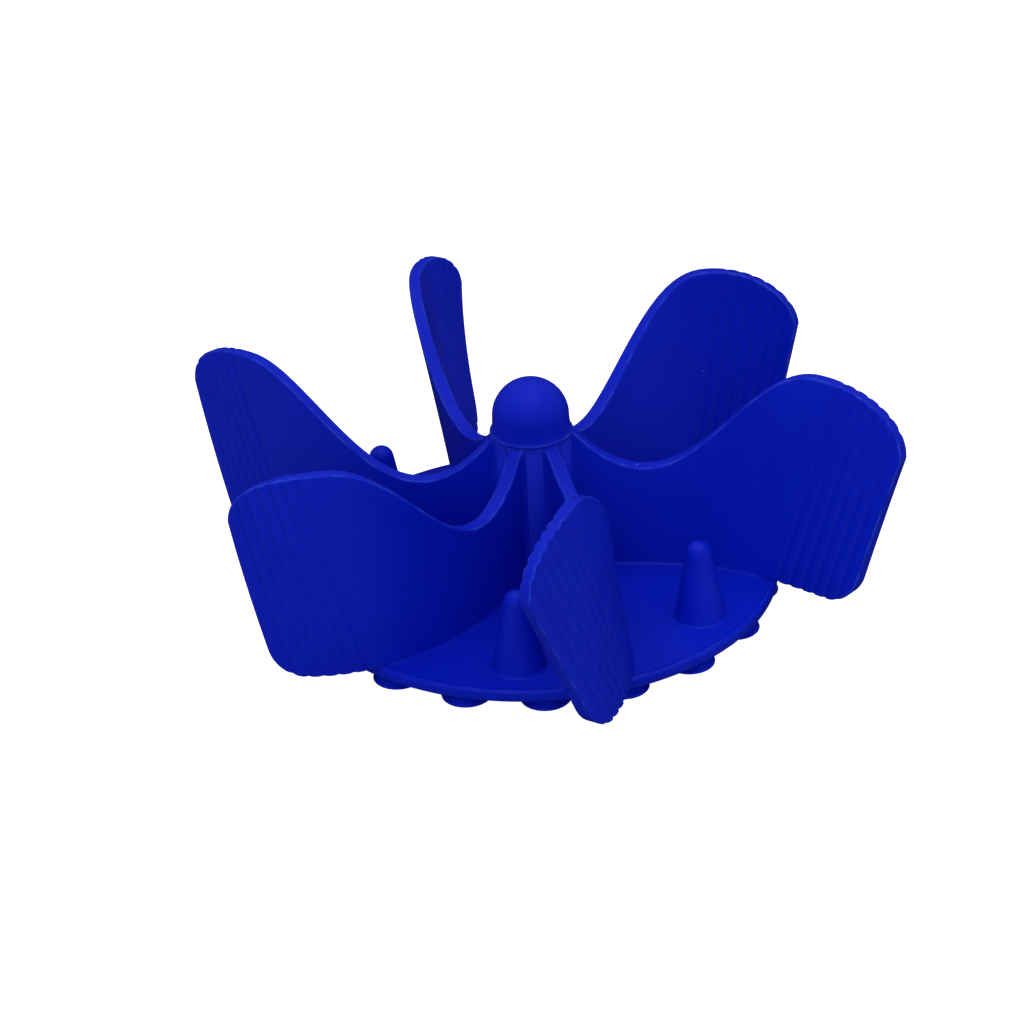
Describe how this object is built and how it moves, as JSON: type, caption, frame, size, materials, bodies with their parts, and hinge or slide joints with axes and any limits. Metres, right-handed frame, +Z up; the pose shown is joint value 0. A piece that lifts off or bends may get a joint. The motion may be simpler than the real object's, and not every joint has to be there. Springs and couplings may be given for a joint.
{
  "type": "slow feeder bowl insert",
  "caption": "Silicone slow feeder insert for a pet bowl: round suction base, curved fins round a domed post, cone pegs between them.",
  "frame": {"origin": "on the centre post's axis, in the plane of the suction cups' lips", "axes": "+Z up along the centre post; the first fin leaves the post towards -Y, and the fins are numbered clockwise seen from above"},
  "size_m": [0.1434, 0.1456, 0.0499],
  "materials": {
    "body_silicone": "matte",
    "fin_silicone": "matte",
    "cup_silicone": "satin"
  },
  "bodies": {
    "base": {"base_plate": "body_silicone", "centre_cup": "cup_silicone", "centre_post": "body_silicone", "cone_peg_1": "body_silicone", "cone_peg_2": "body_silicone", "cone_peg_3": "body_silicone", "cone_peg_4": "body_silicone", "cone_peg_5": "body_silicone", "cone_peg_6": "body_silicone", "domed_cap": "body_silicone", "fin_1": "fin_silicone", "fin_2": "fin_silicone", "fin_3": "fin_silicone", "fin_4": "fin_silicone", "fin_5": "fin_silicone", "fin_6": "fin_silicone", "inner_cup_01": "cup_silicone", "inner_cup_02": "cup_silicone", "inner_cup_03": "cup_silicone", "inner_cup_04": "cup_silicone", "inner_cup_05": "cup_silicone", "inner_cup_06": "cup_silicone", "mid_cup_01": "cup_silicone", "mid_cup_02": "cup_silicone", "mid_cup_03": "cup_silicone", "mid_cup_04": "cup_silicone", "mid_cup_05": "cup_silicone", "mid_cup_06": "cup_silicone", "mid_cup_07": "cup_silicone", "mid_cup_08": "cup_silicone", "mid_cup_09": "cup_silicone", "mid_cup_10": "cup_silicone", "mid_cup_11": "cup_silicone", "mid_cup_12": "cup_silicone", "rim_cup_01": "cup_silicone", "rim_cup_02": "cup_silicone", "rim_cup_03": "cup_silicone", "rim_cup_04": "cup_silicone", "rim_cup_05": "cup_silicone", "rim_cup_06": "cup_silicone", "rim_cup_07": "cup_silicone", "rim_cup_08": "cup_silicone", "rim_cup_09": "cup_silicone", "rim_cup_10": "cup_silicone", "rim_cup_11": "cup_silicone", "rim_cup_12": "cup_silicone", "rim_cup_13": "cup_silicone", "rim_cup_14": "cup_silicone", "rim_cup_15": "cup_silicone", "rim_cup_16": "cup_silicone", "rim_cup_17": "cup_silicone", "rim_cup_18": "cup_silicone"},
    "fin_1_flap": {"fin_1_free_end": "fin_silicone"},
    "fin_2_flap": {"fin_2_free_end": "fin_silicone"},
    "fin_3_flap": {"fin_3_free_end": "fin_silicone"},
    "fin_4_flap": {"fin_4_free_end": "fin_silicone"},
    "fin_5_flap": {"fin_5_free_end": "fin_silicone"},
    "fin_6_flap": {"fin_6_free_end": "fin_silicone"}
  },
  "joints": [
    {"name": "fin_1_flex", "type": "hinge", "parent": "base", "child": "fin_1_flap", "pos_m": [0.0123, -0.04814, 0.0244], "axis": [-0.1338, -0.0322, 0.9905], "range_deg": [-30, 30], "stiffness_Nm_per_rad": 0.02},
    {"name": "fin_2_flex", "type": "hinge", "parent": "base", "child": "fin_2_flap", "pos_m": [-0.03257, -0.03764, 0.0244], "axis": [0.0528, -0.045, 0.9976], "range_deg": [-30, 30], "stiffness_Nm_per_rad": 0.02},
    {"name": "fin_3_flex", "type": "hinge", "parent": "base", "child": "fin_3_flap", "pos_m": [-0.04893, 0.00904, 0.0244], "axis": [-0.015, -0.0853, 0.9962], "range_deg": [-30, 30], "stiffness_Nm_per_rad": 0.02},
    {"name": "fin_4_flex", "type": "hinge", "parent": "base", "child": "fin_4_flap", "pos_m": [-0.01882, 0.04583, 0.0244], "axis": [-0.1869, -0.0814, 0.979], "range_deg": [-30, 30], "stiffness_Nm_per_rad": 0.02},
    {"name": "fin_5_flex", "type": "hinge", "parent": "base", "child": "fin_5_flap", "pos_m": [0.03202, 0.03807, 0.0244], "axis": [-0.0801, 0.0659, 0.9946], "range_deg": [-30, 30], "stiffness_Nm_per_rad": 0.02},
    {"name": "fin_6_flex", "type": "hinge", "parent": "base", "child": "fin_6_flap", "pos_m": [0.04898, -0.00869, 0.0244], "axis": [0.0171, 0.1023, 0.9946], "range_deg": [-30, 30], "stiffness_Nm_per_rad": 0.02}
  ]
}
